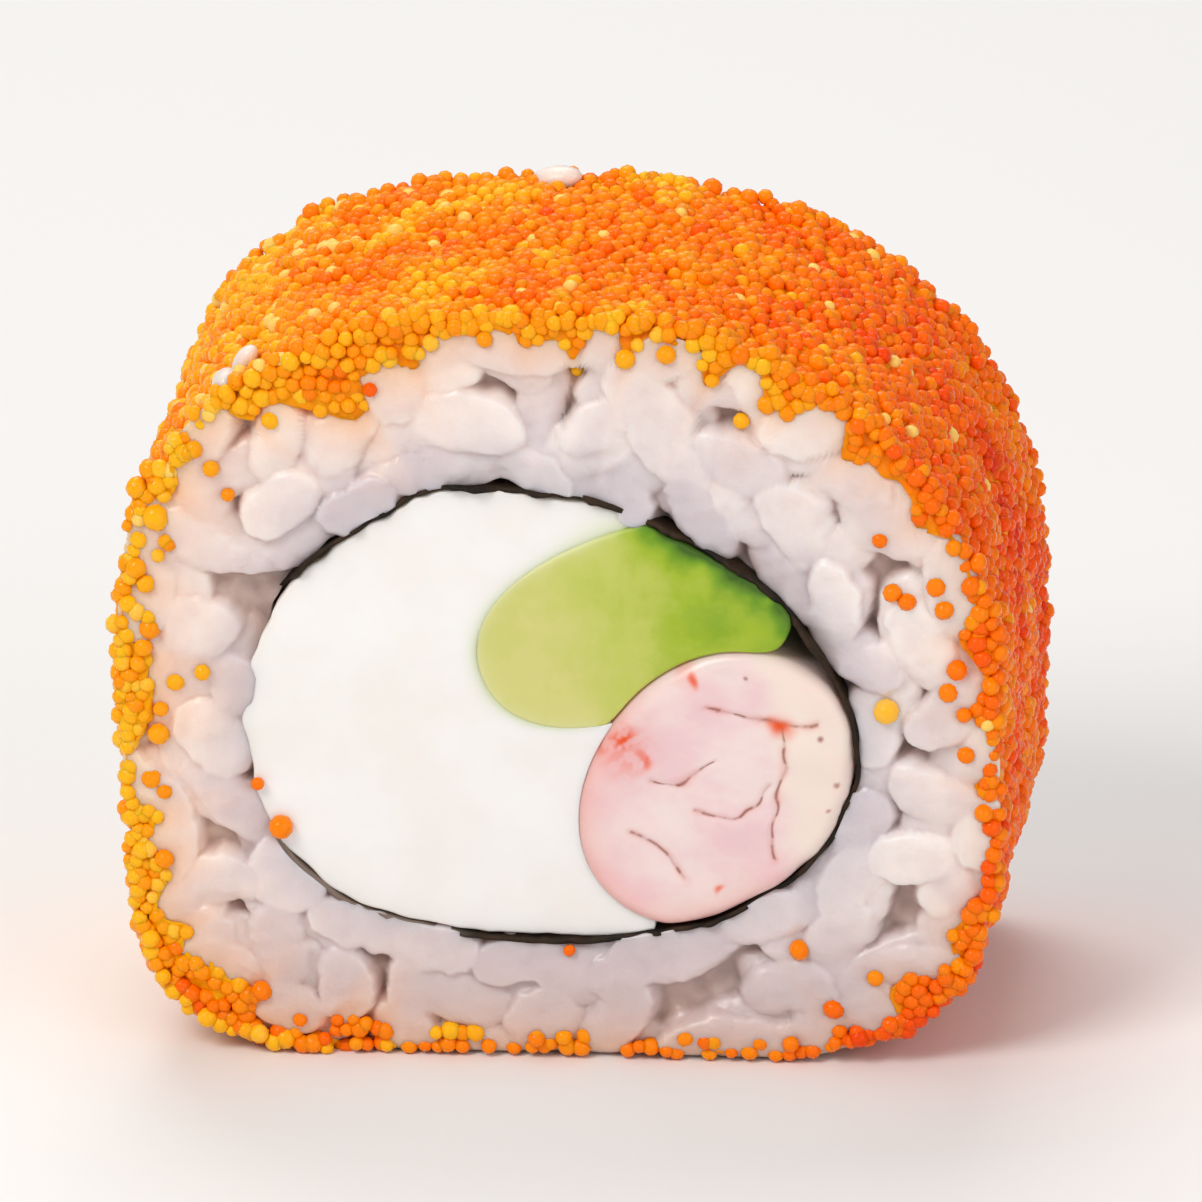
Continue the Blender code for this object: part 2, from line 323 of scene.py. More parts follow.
def roePaint(values):
    paint = Paint("roePaint")
    tint = paint.read("tint")
    colour = paint.ramp(tint + 0.12 * (paint.noise(420.0, 2.0) - 0.5), values["colours"])
    rough = 0.16 + 0.14 * paint.noise(900.0, 1.0)
    return paint.finish(
        Base_Color=colour, Roughness=rough, IOR=1.2,
        Coat_Weight=0.2, Coat_Roughness=0.06, Coat_IOR=1.35,
        Subsurface_Weight=0.4, Subsurface_Radius=(1.0, 0.45, 0.15), Subsurface_Scale=0.0004,
    )


def filmPaint(values):
    paint = Paint("roeFilmPaint")
    wet = paint.noise(700.0, 3.0)
    colour = paint.blend(wet, values["filmDeep"], values["filmPale"])
    # painted light: the film lighter and yellower on the left, the lit side
    colour = paint.blend(paint.read("amber"), colour, values["filmLeftLight"])
    return paint.finish(
        Base_Color=colour, Roughness=0.3 + 0.15 * wet, IOR=1.2,
        Normal=paint.bump(paint.noise(1100.0, 2.0), 0.6, 0.0003),
        Subsurface_Weight=0.5, Subsurface_Radius=(1.0, 0.45, 0.10), Subsurface_Scale=0.0007,
    )


def ricePaint(values):
    paint = Paint("ricePaint")
    cloudy = paint.limits(paint.noise(420.0, 3.0), 0.3, 0.7)
    colour = paint.blend(0.35 * cloudy + 0.65 * paint.read("tone"), values["clear"], values["milky"])
    # painted shade: lavender grey near the sleeve and towards the foot
    colour = paint.blend(paint.read("inner") * 0.8, colour, values["inner"])
    # painted shade in the hollows between grains and towards the foot
    colour = paint.blend(paint.read("deep") * 0.9, colour, values["creaseShade"])
    # painted light: the roe's orange light on the rice near it
    colour = paint.blend(paint.read("stain"), colour, values["paintedRoeLight"])
    grain = paint.noise(900.0, 4.0, 0.6)
    return paint.finish(
        Base_Color=colour, Roughness=0.28 + 0.2 * cloudy, Normal=paint.bump(grain, 0.35, 0.0003),
        Coat_Weight=0.3, Coat_Roughness=0.22, IOR=1.40,
        Subsurface_Weight=0.8, Subsurface_Radius=(1.0, 0.78, 0.68), Subsurface_Scale=0.0017,
    )


def noriPaint(values):
    paint = Paint("noriPaint")
    patches = paint.noise(500.0, 4.0)
    fibres = paint.noise(1.0, 3.0, at=paint.stretched((2600.0, 400.0, 2600.0)))
    colour = paint.blend(paint.limits(patches, 0.35, 0.7), values["dark"], values["brown"])
    colour = paint.blend(paint.read("smear"), colour, values["smeared"])
    return paint.finish(
        Base_Color=colour, Roughness=0.5 + 0.25 * patches, IOR=1.28,
        Normal=paint.bump(patches + 0.5 * fibres, 0.5, 0.0002),
    )


def creamPaint(values):
    paint = Paint("creamPaint")
    soft = paint.noise(180.0, 3.0)
    knife = paint.noise(1.0, 2.0, at=paint.stretched((90.0, 200.0, 1400.0)))
    colour = paint.blend(paint.limits(soft, 0.3, 0.75), values["white"], values["ivory"])
    colour = paint.blend(paint.read("green"), colour, values["smear"])
    colour = paint.blend(paint.read("rim") * 0.5, colour, values["rim"])
    height = knife + 0.5 * paint.noise(1300.0, 3.0)
    return paint.finish(
        Base_Color=colour, Roughness=0.38 + 0.14 * soft, Normal=paint.bump(height, 0.04, 0.0002),
        Subsurface_Weight=0.4, Subsurface_Radius=(1.0, 0.85, 0.70), Subsurface_Scale=0.0012,
    )


def avocadoPaint(values):
    paint = Paint("avocadoPaint")
    blotches = paint.limits(paint.noise(260.0, 4.0, 0.6), 0.36, 0.64)
    colour = paint.ramp(paint.read("skin") + 0.16 * (blotches - 0.5), values["colours"])
    streaks = paint.noise(1.0, 3.0, at=paint.stretched((260.0, 80.0, 900.0)))
    colour = paint.blend(0.10 * streaks, colour, values["pale"])
    colour = paint.blend(paint.read("edge"), colour, values["creamy"])
    return paint.finish(
        Base_Color=colour, Roughness=0.34 + 0.12 * streaks, Normal=paint.bump(streaks, 0.12, 0.0002),
        IOR=1.28, Subsurface_Weight=0.3, Subsurface_Radius=(0.9, 1.0, 0.35), Subsurface_Scale=0.0006,
    )


def shrimpPaint(values):
    paint = Paint("shrimpPaint")
    bands = paint.noise(1.0, 4.0, at=paint.stretched((220.0, 60.0, 320.0)))
    colour = paint.blend(paint.limits(bands, 0.35, 0.65), values["white"], values["blush"])
    for mark, over in (("light", "warm"), ("rim", "pink"), ("spot", "orange"), ("vein", "vein")):
        colour = paint.blend(paint.read(mark), colour, values[over])
    return paint.finish(
        Base_Color=colour, Roughness=0.26 + 0.16 * bands, IOR=1.38, Coat_Weight=0.25, Coat_Roughness=0.15,
        Normal=paint.bump(paint.noise(800.0, 3.0), 0.15, 0.0002),
        Subsurface_Weight=0.5, Subsurface_Radius=(1.0, 0.6, 0.5), Subsurface_Scale=0.0014,
    )


# Nori: the sleeve between rice and fillings

nori = {
    "reach": (0.0165, 0.0170, 0.0129, 0.0135),  # right, left, up, down
    "powers": (1.6, 2.1, 2.8, 2.35),
    # how far pressing moved it from that shape, mm, by direction in degrees
    "pressed": [
        (-60, 0), (-30, 0.35), (-14, 0.65), (-2, 0.2), (6, -0.3), (16, -0.4), (28, 0.25), (40, -0.1),
        (64, -0.25), (76, -0.1), (88, -0.6), (100, -0.1), (112, 0.55), (124, 0.2), (140, -0.1), (160, -0.2),
        (179, 0),
    ],
    "thickness": 0.00026,
    "crinkle": 0.00014,
    "recess": 0.0007,  # how far its edge lies behind the cut
    "tucked": 0.0014,  # how much deeper it lies at the left, where rice and cheese close over it
    "ragged": 0.00034,
    "calmForward": 0.00022,  # how much nearer the cut it lies at the lower left
    "around": 900,
    "dark": seen(24, 20, 13),
    "brown": seen(58, 42, 28),
    "smeared": seen(152, 132, 120),  # thinly covered with cheese
}
noriBase = walked(quarteredPath(roll["hub"], nori["reach"], nori["powers"]), 2400)
noriBaseAngle, noriBaseRadius = polar(*noriBase.T)
pressedBy = softened(readOff(nori["pressed"], noriBaseAngle), 25.0) * mm
noriBase += (noriBase - roll["hub"]) * (pressedBy / noriBaseRadius)[:, None]


def towards(degrees, angle, low, high):
    # 1 round one direction, 0 away from it
    return eased(np.cos(angle - math.radians(degrees)), low, high)


def calmAt(angle, side):
    # 1 at the lower left, where the sleeve's edge is even and close to the cut
    return towards(-118, asSeen(angle, side), 0.70, 0.9)


def noriReach(angle, depth=0.0):
    # the sleeve's outer side: its superellipse with small crinkles that change slowly through the piece
    along = np.broadcast_to(depth / 0.02, np.shape(angle))
    ring = np.stack([np.cos(angle), np.sin(angle), along], axis=-1) * 0.017
    return reachAt(noriBase, roll["hub"], angle) + ripple(ring, 0.0075, 21) * nori["crinkle"]


def makeNori():
    # a strip of even thickness bent round the fillings, each of its two edges wavering by noise
    angle = compass(nori["around"])
    steps = np.concatenate([[0, 0.01, 0.03], np.linspace(0.06, 0.94, 12), [0.97, 0.99, 1]])
    edge = []
    for k, side in enumerate((-1, 1)):
        seenAngle = asSeen(angle, side)
        tuck = nori["tucked"] * towards(177, seenAngle, 0.88, 0.955)
        tuck += 0.25 * nori["tucked"] * towards(220, seenAngle, 0.8, 0.95)
        calm = calmAt(angle, side)
        uneven = nori["ragged"] * ripple(circle(angle, 0.017), 0.004, 31 + k) * (1 - 0.7 * calm)
        edge.append(halfLength - nori["recess"] - tuck + nori["calmForward"] * calm + uneven)
    # the section goes front to back on the outer side and back to front on the inner one
    rows, smear = [], []
    for inward, order in ((0.0, steps), (nori["thickness"], steps[::-1])):
        for share in order:
            smear.append(0.65 * towards(-138, angle, 0.86, 0.97) * (share < 0.05))
            y = -edge[0] + share * (edge[0] + edge[1])
            rows.append(ringRow(noriReach(angle, y) - inward, angle, y))
    points = np.array(rows).reshape(-1, 3)
    faces = ringFaces(len(rows), len(angle), True)
    piece = makePiece("noriSleeve", points, faces, noriPaint(nori), {"smear": smear})
    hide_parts("nori_band")


# Rice: a ring whose two cut faces are piles of grains

rice = {
    "grain": (0.0060, 0.0032),  # length and width
    "grainHeight": 0.55,  # mm, top of a grain over its own edge
    # the upper and the lower layer: most grains, room for each, and how high they lie, mm
    "layers": [(72, 0.0036, (-0.16, 0.40)), (110, 0.0027, (-0.50, -0.22))],
    "tries": 9000,  # places tried for each layer
    "soft": 0.17,  # mm, how far neighbouring grains melt together
    "dip": 0.55,  # mm, the pile's fall towards the nori
    "lobe": 2.2,  # mm, between the border at a grain's end and beside it
    "columns": 820,
    "frontRows": 78,
    "backRows": 30,
    # gaps that the grains leave on the front cut: x, z and radius, mm
    "gaps": [
        (-17.0, 26.9, 0.8), (-2.1, 38.4, 0.3), (5.4, 3.9, 0.5), (8.5, 5.0, 0.5), (19.1, 17.9, 0.2),
        (19.0, 8.3, 0.2), (-10.3, 5.6, 0.3), (17.6, 29.4, 0.2), (-19.6, 12.2, 0.3), (9.7, 36.9, 0.2),
    ],
    # grains that show through the roe: x, y, z, length, width and turn, mm and degrees
    "loose": [
        (-17.7, -10.1, 38.6, 2.8, 1.7, 70), (-16.7, -9.3, 39.6, 2.2, 1.4, 20),
        (-2.3, 10.3, 43.55, 3.0, 1.7, 10),
    ],
    "milky": seen(243, 234, 229),
    "clear": seen(216, 203, 204),
    # painted shade: lavender grey for the rice near the sleeve and at the foot
    "inner": seen(205, 195, 202),
    # painted shade for the hollows between grains
    "creaseShade": seen(190, 164, 156),
    # painted light: the orange light that the roe throws on the rice beside it
    "paintedRoeLight": seen(247, 189, 143),
}
# The next tables give mm by the direction in degrees, as seen on each cut
roeRim = [  # width of the roe on the cut
    (-178, 1.2), (-154, 1.8), (-138, 3.5), (-114, 0.9), (-94, 0.6), (-64, 0.6), (-47, 2.4), (-38, 1.7),
    (-31, 1.8), (-23, 0.7), (-17, 0.9), (-11, 1.7), (-4, 2.0), (3, 1.1), (8, 1.1), (17, 2.3), (31, 1.8),
    (44, 2.6), (54, 2.1), (67, 2.6), (80, 2.3), (92, 3.2), (99, 2.2), (112, 4.2), (121, 4.3), (128, 2.3),
    (137, 2.0), (162, 1.0), (173, 1.6),
]
roeSpill = [  # how much further it runs over the grains
    (-160, 0), (-155, -0.5), (-152, -1.4), (-149, -0.8), (-146, 0.5), (-142, 1.4), (-138, 0.6), (-134, 0.2),
    (-129, 0),
]
noriShown = [  # how far the rice stands back from the sleeve; below 0 it covers the edge
    (-178, -0.7), (-160, -0.6), (-152, -0.42), (-142, -0.32), (-100, -0.24), (-78, -0.1), (-62, 0.15),
    (-50, 0.15), (-40, -0.1), (-25, -0.40), (10, -0.35), (28, -0.40), (45, -0.30), (60, -0.2), (65, -0.6),
    (69, -0.6), (74, 0.25), (84, 0.38), (95, 0.33), (104, 0.08), (120, 0.05), (136, 0.05), (148, 0.0),
    (158, -0.5),
]


def rimWidth(angle, side):
    width = readOff(roeRim, angle, side)
    return (width + 0.3 * ripple(circle(angle, 0.022), 0.005, 41 + side) * np.clip(width - 0.3, 0, 1)) * mm


def skinReach(angle, side):
    return reachAt(frontOutline if side < 0 else backOutline, roll["hub"], angle)


def scatterGrains(side, count, room, level, rng):
    # grains laid where there is room, mostly along the ring; each row is one grain
    tries = rice["tries"]
    angle = rng.uniform(-math.pi, math.pi, tries)
    low, high = noriReach(angle) + 0.2 * mm, skinReach(angle, side) - rimWidth(angle, side) + 0.5 * mm
    radius = low + (high - low) * rng.uniform(0, 1, tries)
    spot = circle(angle, radius[:, None]) + roll["hub"]
    heading = angle + math.pi / 2 + rng.normal(0, 0.75, tries)
    length = rice["grain"][0] * rng.uniform(0.72, 1.12, tries)
    width = rice["grain"][1] * rng.uniform(0.8, 1.1, tries)
    end = circle(heading, length[:, None] / 2)
    fits = np.ones(tries, bool)
    for tip in (spot + end, spot - end):
        tipAngle, tipRadius = polar(*tip.T)
        fits &= tipRadius > noriReach(tipAngle) - 0.3 * mm
    for gx, gz, size in rice["gaps"]:
        dx, dz = -side * gx * mm - spot[:, 0], gz * mm - spot[:, 1]
        u = (dx * np.cos(heading) + dz * np.sin(heading)) / (length / 2 + size * mm)
        v = (dz * np.cos(heading) - dx * np.sin(heading)) / (width / 2 + size * mm)
        fits &= u ** 2 + v ** 2 > 1
    picked = []
    for k in np.flatnonzero(fits):
        apart = room * (1 if k < tries // 2 else 0.8)
        if len(picked) < count and (not picked or np.hypot(*(spot[picked] - spot[k]).T).min() > apart):
            picked.append(k)
    own = [rng.uniform(*level, count), rng.normal(0, 0.11, count), rng.normal(0, 0.11, count),
           rng.normal(0, 0.10, count), rng.uniform(-1, 1, count)]
    rows = np.column_stack([spot, heading, length / 2, width / 2])[picked]
    return np.column_stack([rows, np.column_stack(own)[:len(rows)]])


def pileHeight(x, z, grains):
    # soft maximum of domes: height = level + tilt - h (1 - sqrt(1 - rho^2)), rho^2 = |u/a|^2.6 + (v/b)^2
    soft = rice["soft"]
    at = np.stack([x, z], axis=-1)
    x, z = x + 0.00008 * ripple(at, 0.0017, 52, 2), z + 0.00008 * ripple(at, 0.0017, 53, 2)  # uneven outlines
    floor = -1.55 + 0.25 * ripple(at, 0.003, 51, 2)
    total = np.exp(floor / soft)
    tones, tonal = 0 * total, 0 * total + 1e-9
    for gx, gz, heading, a, b, level, tiltU, tiltV, bend, tone in grains:
        u = (x - gx) * math.cos(heading) + (z - gz) * math.sin(heading)
        v = -(x - gx) * math.sin(heading) + (z - gz) * math.cos(heading)
        v = v - bend * u * u / a
        rho = np.sqrt(abs(u / a) ** 2.6 + (v / b) ** 2)
        dome = rice["grainHeight"] * (1 - np.sqrt(np.clip(1 - rho ** 2, 0, 1)))
        height = level + (tiltU * u + tiltV * v) / mm - dome - 6.0 * np.clip(rho - 1, 0, 1)
        total += np.exp(np.maximum(height, -3.2) / soft) * (rho < 1.8)
        weight = np.exp(np.maximum(height, -1.5) / 0.05) * (rho < 1.2)  # a grain's tone ends sharply
        tonal += weight
        tones += weight * tone
    height = soft * np.log(total)
    # the knife levels what would stand out of the cut
    return -0.07 * np.log(np.exp(-height / 0.07) + 1), tones / tonal


riceRng = np.random.default_rng(8)
ricePiles = {}
for cutSide in (-1, 1):
    layers = [scatterGrains(cutSide, *layer, riceRng) for layer in rice["layers"]]
    ricePiles[cutSide] = np.vstack(layers)
    print("rice grains on cut", cutSide, [len(layer) for layer in layers])

# the border between rice and roe: it bulges outwards where a grain lies high and falls back beside it
borderAngle = compass(1800, -math.pi)
riceBorder = {}
for cutSide in (-1, 1):
    width = rimWidth(borderAngle, cutSide)
    skin = skinReach(borderAngle, cutSide)
    border = skin - width - readOff(roeSpill, borderAngle, cutSide) * mm
    height = pileHeight(*placed(border + 0.6 * mm, borderAngle), ricePiles[cutSide])[0]
    lobe = rice["lobe"] * (eased(height, -0.45, -0.03) - 0.5) * np.clip(width / (2.2 * mm), 0.35, 1)
    riceBorder[cutSide] = np.minimum(border + softened(lobe, 4.0) * mm, skin - 0.75 * mm)


def riceReach(angle, side):
    return np.interp(angle, borderAngle, riceBorder[side], period=fullTurn)


def riceCut(x, z, side):
    # how far the rice lies behind the cut, metres (the pile, falling away at its two borders), and its tone
    angle, radius = polar(x, z)
    low, high = noriReach(angle), riceReach(angle, side)
    share = (radius - low) / (high - low)
    fall = rice["dip"] * (1 - eased(share, -0.05, 0.42)) + 0.35 * eased(share, 0.75, 1.1)
    mottle = 0.03 * ripple((x, z), 0.0016, 61)
    height, tone = pileHeight(x, z, ricePiles[side])
    inside = skinReach(angle, side) - radius
    return (fall - height - mottle) * mm + 0.0001 + 0.8 * cornerSink(inside), tone


def riceDepth(x, z, side):
    return riceCut(x, z, side)[0]


def makeRice():
    # rings of one row each: over the front pile, along the outer wall, back over the other pile, inner wall
    circuit = np.linspace(0, fullTurn, 4001)
    middle = np.column_stack(placed(1.18 * noriReach(circuit), circuit))
    angle = polar(*walked(middle, rice["columns"]).T)[0]
    c, s = np.cos(angle), np.sin(angle)
    deep, stain, shady, tones = [], [], [], []

    def face(side, count):
        low = noriReach(angle) + 0.05 * mm
        proud = softened(eased(-riceDepth(*placed(low, angle), side), -1.4 * mm, -0.8 * mm), 2.0)
        wavy = 0.14 * ripple((c, s), 0.22, 63, 2)
        # grain ends close over the sleeve, but mostly leave a thin line
        shown = readOff(noriShown, angle, side)
        closing = (wavy - 0.45 * proud) * (1 - 0.85 * calmAt(angle, side))
        offset = np.maximum(shown + 0.2 + closing, np.where(shown > -0.45, -0.17, -1))
        low = low + softened(offset, 1.5) * mm
        skin = skinReach(angle, side)
        border = riceReach(angle, side)
        high = np.minimum(border + 0.3 * mm, skin - 0.6 * mm)
        # at the foot the grains reach down to the floor, with notches between them
        foot = eased(-roll["hub"][1] - skin * s, -2.0 * mm, -0.8 * mm)
        notch = eased(riceDepth(*placed(skin - 1.2 * mm, angle), side), 0.7 * mm, 1.3 * mm)
        high = high + foot * (np.maximum(high, skin - (0.2 + 0.9 * notch) * mm) - high)
        made = []
        for t in np.linspace(0, 1, count):
            radius = low + (high - low) * t
            x, z = placed(radius, angle)
            depth, tone = riceCut(x, z, side)
            made.append(np.column_stack([x, side * (halfLength - depth), z]))
            # 1 at the foot, for the painted shade there
            bottom = eased(-z, -0.0130, -0.0020)
            near = np.clip((border - radius) / mm, 0, 9)
            # painted light: the roe's orange light, strongest at the border and towards the top and left
            paintedRoeLight = (0.66 + 0.12 * s - 0.20 * c) * np.exp(-near / (1.6 + np.maximum(-c, 0)))
            stain.append(paintedRoeLight)
            # painted shade: darker where the pile lies deep behind the cut, and towards the foot
            deep.append(np.maximum(eased(depth, 0.6 * mm, 1.7 * mm) * (1 - 0.6 * paintedRoeLight), 0.42 * bottom))
            # painted shade: lavender grey near the sleeve, and towards the foot
            shady.append(np.maximum(1 - eased(t + 0.08 * tone, 0.0, 0.55), bottom))
            tones.append(0.5 + 0.5 * tone)
        return made

    def underCoat(side):
        # the ring's own corner, out of sight below the roe
        radius = np.minimum(riceReach(angle, side) + 0.3 * mm, skinReach(angle, side) - 1.5 * mm)
        return ringRow(radius, angle, side * (halfLength - 2.6 * mm))

    front = face(-1, rice["frontRows"])
    back = face(1, rice["backRows"])
    walls = 5
    outer = [underCoat(-1) + (underCoat(1) - underCoat(-1)) * t for t in np.linspace(0, 1, walls)]
    inner = [back[0] + (front[0] - back[0]) * t for t in np.linspace(0, 1, walls + 2)[1:-1]]
    rows = front + outer + back[::-1] + inner
    for row in rows:
        row[:, 2] = np.maximum(row[:, 2], 0.1 * mm)
    split = rice["frontRows"]
    empty = [np.zeros(len(angle))] * walls
    marks = {"deep": deep, "stain": stain, "inner": shady, "tone": tones}
    marks = {k: v[:split] + empty + v[split:][::-1] + empty for k, v in marks.items()}
    faces = ringFaces(len(rows), len(angle), True)
    piece = makePiece("riceRing", np.array(rows).reshape(-1, 3), faces, ricePaint(rice), marks)
    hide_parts("rice_ring")


def ballRows(lat, lon):
    # points on a ball in rows from pole to pole
    return np.stack([np.sin(lat) * np.cos(lon), np.sin(lat) * np.sin(lon), np.cos(lat) + 0 * lon], axis=-1)


def makeLooseRice():
    # ellipsoids lying in the coat's surface
    points, faces = ballSkin(ballRows(np.linspace(0, math.pi, 13)[:, None], compass(24)))
    allPoints, allFaces = [], []
    for x, y, z, length, width, turn in rice["loose"]:
        lift = math.atan2(z - 24, x * 1.4)  # the way the coat faces there
        across = np.array([math.cos(lift), 0, math.sin(lift)])
        first = math.cos(math.radians(turn)) * np.array([-across[2], 0, across[0]])
        first = first + math.sin(math.radians(turn)) * np.array([0, 1, 0])
        axes = np.array([first * length, np.cross(across, first) * width, across * width * 0.8]) / 2
        allFaces += [tuple(i + len(points) * len(allPoints) for i in face) for face in faces]
        allPoints.append((points @ axes + (x, y, z)) * mm)
    allPoints = np.vstack(allPoints)
    # a little painted orange light from the roe round these grains
    marks = {"tone": np.full(len(allPoints), 0.8), "stain": np.full(len(allPoints), 0.25)}
    piece = makePiece("riceLoose", allPoints, allFaces, ricePaint(rice), marks)
    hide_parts("rice_ring")


# Fillings: cream cheese, avocado and shrimp, which run from cut to cut

avocado = {
    "centre": (0.0041, 0.0254),
    "along": (0.0089, 0.0089),  # to its right and left end
    "across": 0.0052,
    "tilt": 23.0,
    "powers": (2.25, 3.2),  # squareness, and that of its lower right corner
    "start": (0.0042, 0.0272),  # where its rays start
    "face": 0.0006,  # how far its cut lies behind the grains' cut
    "edge": 0.00025,  # its roundness
    "crown": 0.0001,  # how far its middle stands out
    "grid": (420, 70),  # points round it and rows on its cut
    "colours": [
        (0.0, seen(208, 205, 126)), (0.28, seen(190, 197, 92)), (0.5, seen(158, 182, 38)),
        (0.74, seen(98, 148, 8)), (1.0, seen(40, 88, 0)),
    ],
    "pale": seen(226, 226, 160),
    "creamy": seen(230, 230, 196),
}
shrimp = {
    "centre": (0.0088, 0.0162),
    "along": (0.0083, 0.0092),  # to its upper and lower end
    "across": 0.0068,
    "tilt": 50.0,
    "powers": (2.05, 2.05),
    "start": (0.0088, 0.0162),
    "face": 0.00025,
    "edge": 0.0009,
    "crown": 0.00005,
    "grid": (460, 96),
    "white": seen(238, 219, 216),
    "blush": seen(234, 200, 204),
    "warm": seen(240, 226, 214),
    "pink": seen(238, 172, 162),
    "orange": seen(232, 84, 10),
    "vein": seen(150, 66, 36),
    # thin seams across the cut, mm
    "veins": [
        [(8.1, 21.0), (8.9, 20.7), (10.4, 20.3), (12.3, 19.9), (14.1, 20.1)],
        [(12.4, 19.7), (12.5, 17.8), (12.1, 16.0), (11.7, 14.4), (11.6, 12.2)],
        [(5.0, 16.5), (5.9, 16.1), (7.3, 16.7), (8.5, 17.7)],
        [(7.4, 14.9), (9.0, 14.5), (10.1, 14.8), (11.6, 16.3)],
        [(3.8, 13.6), (5.6, 12.7), (6.7, 10.9)],
    ],
    # dark specks: x, z and radius, mm
    "specks": [
        (14.4, 19.2, 0.17), (15.2, 16.5, 0.17), (10.4, 22.6, 0.12), (14.7, 15.0, 0.12), (8.8, 20.7, 0.12),
    ],
    # orange marks: x, z, radius (mm) and strength
    "spots": [
        (12.3, 19.8, 0.6, 1.0), (3.6, 18.9, 0.8, 1.0), (4.6, 17.8, 0.5, 0.8), (2.7, 18.2, 0.6, 0.6),
        (3.7, 18.3, 1.5, 0.45), (7.4, 22.6, 0.35, 0.9), (8.9, 10.1, 0.3, 0.8), (6.9, 23.3, 0.9, 0.3),
    ],
}
cream = {
    "start": (0.0065, 0.0220),  # a point inside both neighbours
    "face": 0.00055,
    "edge": 0.0002,
    "crown": 0.00035,
    "thinnest": 0.0006,  # where the band gets thinner than this it ends
    "white": seen(242, 240, 238),
    "ivory": seen(239, 234, 229),
    "smear": seen(200, 212, 150),
    "rim": seen(228, 218, 206),
}


def insideTilted(x, z, piece, margin=0.0):
    # |u/a|^n + |v/b|^n < 1 in the piece's tilted axes, with its own a for each end and n for one corner
    tilt = math.radians(piece["tilt"])
    dx, dz = x - piece["centre"][0], z - piece["centre"][1]
    u = dx * math.cos(tilt) + dz * math.sin(tilt)
    v = -dx * math.sin(tilt) + dz * math.cos(tilt)
    n = np.where((u > 0) & (v < 0), piece["powers"][1], piece["powers"][0])
    along = np.where(u > 0, piece["along"][0], piece["along"][1])
    return abs(u / (along + margin)) ** n + abs(v / (piece["across"] + margin)) ** n < 1


def insideSleeve(x, z, margin=0.0):
    angle, radius = polar(x, z)
    return radius < noriReach(angle) - nori["thickness"] - margin


def rayReach(start, angle, inside, width):
    # how far each ray from the start stays inside, smoothed with a bell of that width
    step = np.arange(0, 0.04, 0.00003)
    return softened(step[np.argmin(inside(*placed(step, angle[:, None], start)), axis=1)], width)


def barSkin(piece, angle, reach, relief):
    # a bar's rows, from the middle of its front cut over its edge and along its side to the back cut's middle
    start, edge = piece["start"], piece["edge"]
    half = [((reach - edge) * t, piece["crown"] * (1 - t ** 2)) for t in np.linspace(0, 1, piece["grid"][1])]
    for a in np.linspace(0, math.pi / 2, 9)[1:]:
        half.append((reach - edge + edge * np.sin(a), -edge * (1 - np.cos(a))))
    half += [(reach, -0.0012), (reach, -0.0030)]
    rows = []
    for side in (-1, 1):
        made = []
        for radius, rise in half:
            drag = relief(*placed(radius, angle, start), side) * eased((reach - radius) / 0.0012, 0.1, 1)
            made.append(ringRow(radius, angle, side * (halfLength - piece["face"] + rise + drag), start))
        rows += made if side < 0 else made[::-1]
    return ballSkin(rows)


def toRim(x, z, piece, angle, reach):
    # distance to the bar's outline along its rays
    heading, radius = polar(x, z, piece["start"])
    return np.interp(heading, angle, reach, period=fullTurn) - radius


def cutMarks(x, z, side):
    # shallow drag marks left by the knife
    return 0.00004 * ripple((0.25 * x, z), 0.0045, 71 + side, 2)


def makeAvocado():
    # a bar whose outline is the tilted superellipse less what shrimp and sleeve take from it
    angle = compass(avocado["grid"][0])

    def shown(x, z):
        inSleeve = insideSleeve(x, z, 0.00005)
        return inSleeve & insideTilted(x, z, avocado) & ~insideTilted(x, z, shrimp, 0.00005)

    reach = rayReach(avocado["start"], angle, shown, 3.0)
    points, faces = barSkin(avocado, angle, reach, cutMarks)
    x, z = points[:, 0], points[:, 2]
    heading, radius = polar(x, z)
    toSkin = noriReach(heading) - nori["thickness"] - radius
    across = eased(x + 0.35 * (z - 0.0256), -0.0045, 0.0125)
    uneven = 1 + 0.45 * ripple((x, z), 0.0026, 87, 2)
    skin = 0.60 * across + 0.62 * faded(toSkin, 0.00055 * uneven) * eased(x, 0.0020, 0.0065)
    rim = 0.6 * faded(toRim(x, z, avocado, angle, reach), 0.00032)
    rim = rim * eased(-x, -0.0055, -0.0015) * ~insideTilted(x, z, shrimp, 0.0006)
    marks = {"skin": np.clip(skin, 0, 1), "edge": rim}
    piece = makePiece("avocadoStrip", points, faces, avocadoPaint(avocado), marks)
    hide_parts("avocado")


def nearLine(x, z, line):
    # distance to a line of straight stretches, with its corners cut off twice
    line = np.array(line)
    for _ in range(2):
        cut = np.stack([0.75 * line[:-1] + 0.25 * line[1:], 0.25 * line[:-1] + 0.75 * line[1:]], axis=1)
        line = np.vstack([line[:1], cut.reshape(-1, 2), line[-1:]])
    nearest = np.full(x.shape, 1.0)
    for (ax, az), (bx, bz) in zip(line[:-1], line[1:]):
        dx, dz = (bx - ax) * mm, (bz - az) * mm
        t = np.clip(((x - ax * mm) * dx + (z - az * mm) * dz) / (dx * dx + dz * dz), 0, 1)
        nearest = np.minimum(nearest, np.hypot(x - ax * mm - t * dx, z - az * mm - t * dz))
    return nearest


def shrimpSway(x, z):
    # what makes seams and marks waver
    return 0.00016 * ripple((x, z), 0.0030, 81, 2)


def toVeins(x, z):
    # distances to each of the seams
    sway = shrimpSway(x, z)
    return [nearLine(x + sway, z - sway, line) for line in shrimp["veins"]]


